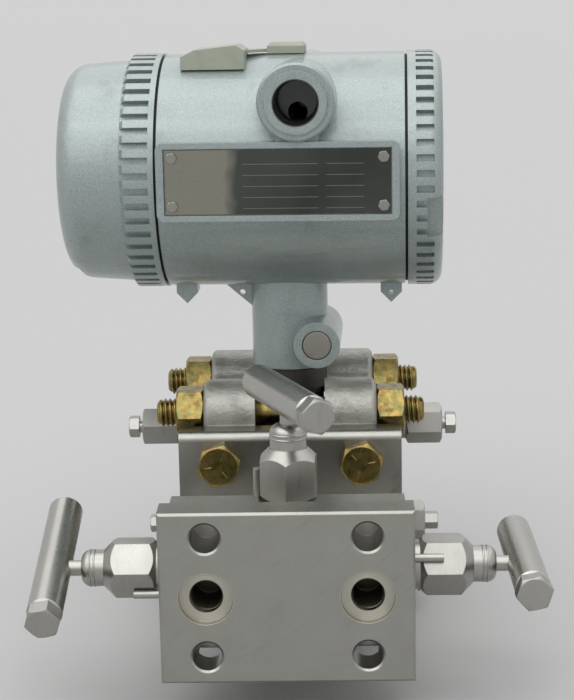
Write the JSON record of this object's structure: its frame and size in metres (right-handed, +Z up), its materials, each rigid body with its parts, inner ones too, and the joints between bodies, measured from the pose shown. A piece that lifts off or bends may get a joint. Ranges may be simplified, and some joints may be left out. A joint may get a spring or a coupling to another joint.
{
  "type": "differential pressure transmitter",
  "caption": "Differential pressure transmitter: round painted housing with screwed covers on a flanged sensor cell, bolted to a stainless manifold with T-bar needle valves.",
  "frame": {"origin": "middle of the manifold's flat process face, between the two process ports", "axes": "+X to the right as seen from the process face, +Y from the process face towards the sensor cell, +Z up along the housing's neck"},
  "size_m": [0.1772, 0.1976, 0.2231],
  "materials": {
    "forged_steel": "fine-machined stainless steel, satin",
    "cast_steel": "blasted cast stainless steel, matt grey",
    "zinc_steel": "zinc plated and yellow passivated steel",
    "valve_steel": "turned stainless steel, satin",
    "bar_steel": "bright drawn stainless bar",
    "sensor_steel": "dark stainless steel",
    "thin_steel": "bright rolled diaphragm sheet",
    "cast_aluminium": "blue-grey polyurethane paint on die-cast aluminium",
    "tag_steel": "bright stainless sheet",
    "screw_steel": "stainless screws, satin",
    "seal_rubber": "black nitrile rubber",
    "packing_black": "graphite and fluoropolymer packing",
    "module_plastic": "black moulded electronics case",
    "block_plastic": "dark grey moulded terminal block",
    "cap_plastic": "grey-green moulded plastic",
    "plug_steel": "bright plugs"
  },
  "bodies": {
    "manifold": {"manifold_body": "forged_steel", "manifold_bolts": "zinc_steel", "flange_studs": "zinc_steel", "left_stud_nuts": "zinc_steel", "right_stud_nuts": "zinc_steel", "process_seals": "seal_rubber", "left_bonnet": "valve_steel", "left_lock_pin": "valve_steel", "left_packing": "packing_black", "right_bonnet": "valve_steel", "right_lock_pin": "valve_steel", "right_packing": "packing_black", "equalizer_bonnet": "valve_steel", "equalizer_lock_pin": "valve_steel", "equalizer_packing": "packing_black", "left_process_flange": "cast_steel", "right_process_flange": "cast_steel", "sensor_body": "sensor_steel", "left_diaphragm": "thin_steel", "right_diaphragm": "thin_steel", "left_gasket": "packing_black", "right_gasket": "packing_black", "left_vent_plug": "valve_steel", "left_drain_plug": "valve_steel", "right_vent_plug": "valve_steel", "right_drain_plug": "valve_steel"},
    "housing_body": {"housing": "cast_aluminium", "nameplate": "tag_steel", "nameplate_screws": "screw_steel", "neck_plug": "plug_steel", "rear_conduit_plug": "plug_steel", "electronics_module": "module_plastic", "terminal_block": "block_plastic", "terminal_screws": "screw_steel"},
    "left_cover_ring": {"left_cover_seal": "seal_rubber"},
    "left_cap": {"left_cover": "cast_aluminium"},
    "right_cover_ring": {"right_cover_seal": "seal_rubber"},
    "right_cap": {"right_cover": "cast_aluminium"},
    "zero_adjuster": {"zero_screw": "screw_steel"},
    "span_adjuster": {"span_screw": "screw_steel"},
    "adjuster_cap": {"adjuster_cover": "cap_plastic"},
    "left_tip": {"left_valve_tip": "valve_steel"},
    "left_spindle": {"left_stem": "valve_steel", "left_handle": "bar_steel", "left_handle_bolt": "valve_steel"},
    "right_tip": {"right_valve_tip": "valve_steel"},
    "right_spindle": {"right_stem": "valve_steel", "right_handle": "bar_steel", "right_handle_bolt": "valve_steel"},
    "equalizer_tip": {"equalizer_valve_tip": "valve_steel"},
    "equalizer_spindle": {"equalizer_stem": "valve_steel", "equalizer_handle": "bar_steel", "equalizer_handle_bolt": "valve_steel"},
    "left_ball": {"left_vent_ball": "valve_steel"},
    "left_vent": {"left_vent_screw": "valve_steel"},
    "right_ball": {"right_vent_ball": "valve_steel"},
    "right_vent": {"right_vent_screw": "valve_steel"}
  },
  "joints": [
    {"name": "left_valve_lift", "type": "slide", "parent": "manifold", "child": "left_tip", "axis": [-1, 0, 0], "range_m": [0, 0.0051]},
    {"name": "left_valve_turn", "type": "hinge", "parent": "left_tip", "child": "left_spindle", "pos_m": [-0.0408, 0.0325, 0], "axis": [-1, 0, 0], "range_deg": [0, 1440]},
    {"name": "right_valve_lift", "type": "slide", "parent": "manifold", "child": "right_tip", "axis": [1, 0, 0], "range_m": [0, 0.0051]},
    {"name": "right_valve_turn", "type": "hinge", "parent": "right_tip", "child": "right_spindle", "pos_m": [0.0408, 0.0325, 0], "axis": [1, 0, 0], "range_deg": [0, 1440]},
    {"name": "equalizer_valve_lift", "type": "slide", "parent": "manifold", "child": "equalizer_tip", "axis": [0, 0, 1], "range_m": [0, 0.0051]},
    {"name": "equalizer_valve_turn", "type": "hinge", "parent": "equalizer_tip", "child": "equalizer_spindle", "pos_m": [0.0006, 0.035, 0.024], "axis": [0, 0, 1], "range_deg": [0, 1440]},
    {"name": "left_vent_lift", "type": "slide", "parent": "manifold", "child": "left_ball", "axis": [-1, 0, 0], "range_m": [0, 0.0016]},
    {"name": "left_vent_turn", "type": "hinge", "parent": "left_ball", "child": "left_vent", "pos_m": [-0.0613, 0.148, 0.0208], "axis": [-1, 0, 0], "range_deg": [0, 725]},
    {"name": "right_vent_lift", "type": "slide", "parent": "manifold", "child": "right_ball", "axis": [1, 0, 0], "range_m": [0, 0.0016]},
    {"name": "right_vent_turn", "type": "hinge", "parent": "right_ball", "child": "right_vent", "pos_m": [0.0613, 0.148, 0.0208], "axis": [1, 0, 0], "range_deg": [0, 725]},
    {"name": "housing_swivel", "type": "hinge", "parent": "manifold", "child": "housing_body", "pos_m": [0, 0.1432, 0.06], "axis": [0, 0, 1], "range_deg": [-90, 90]},
    {"name": "left_cover_travel", "type": "slide", "parent": "housing_body", "child": "left_cover_ring", "axis": [-0.9991, 0.0419, 0], "range_m": [0, 0.0121]},
    {"name": "left_cover_turn", "type": "hinge", "parent": "left_cover_ring", "child": "left_cap", "pos_m": [0, 0.1432, 0.1263], "axis": [-0.9991, 0.0419, 0], "range_deg": [0, 2160]},
    {"name": "right_cover_travel", "type": "slide", "parent": "housing_body", "child": "right_cover_ring", "axis": [0.9991, -0.0419, 0], "range_m": [0, 0.0121]},
    {"name": "right_cover_turn", "type": "hinge", "parent": "right_cover_ring", "child": "right_cap", "pos_m": [0, 0.1432, 0.1263], "axis": [0.9991, -0.0419, 0], "range_deg": [0, 2160]},
    {"name": "adjuster_cap_pull", "type": "slide", "parent": "housing_body", "child": "adjuster_cap", "axis": [0, 0, 1], "range_m": [0, 0.008]},
    {"name": "zero_turn", "type": "hinge", "parent": "housing_body", "child": "zero_adjuster", "pos_m": [-0.02699, 0.13212, 0.1623], "axis": [0, 0, 1], "range_deg": [-135, 135]},
    {"name": "span_turn", "type": "hinge", "parent": "housing_body", "child": "span_adjuster", "pos_m": [0.00058, 0.14518, 0.1623], "axis": [0, 0, 1], "range_deg": [-135, 135]}
  ],
  "couplings": [
    {"joint": "left_valve_lift", "follows": "left_valve_turn", "m_per_rad": 0.00020213},
    {"joint": "right_valve_lift", "follows": "right_valve_turn", "m_per_rad": 0.00020213},
    {"joint": "equalizer_valve_lift", "follows": "equalizer_valve_turn", "m_per_rad": 0.00020213},
    {"joint": "left_vent_turn", "follows": "left_vent_lift", "rad_per_m": 7854},
    {"joint": "right_vent_turn", "follows": "right_vent_lift", "rad_per_m": 7854},
    {"joint": "left_cover_travel", "follows": "left_cover_turn", "m_per_rad": 0.00031831},
    {"joint": "right_cover_travel", "follows": "right_cover_turn", "m_per_rad": 0.00031831}
  ]
}
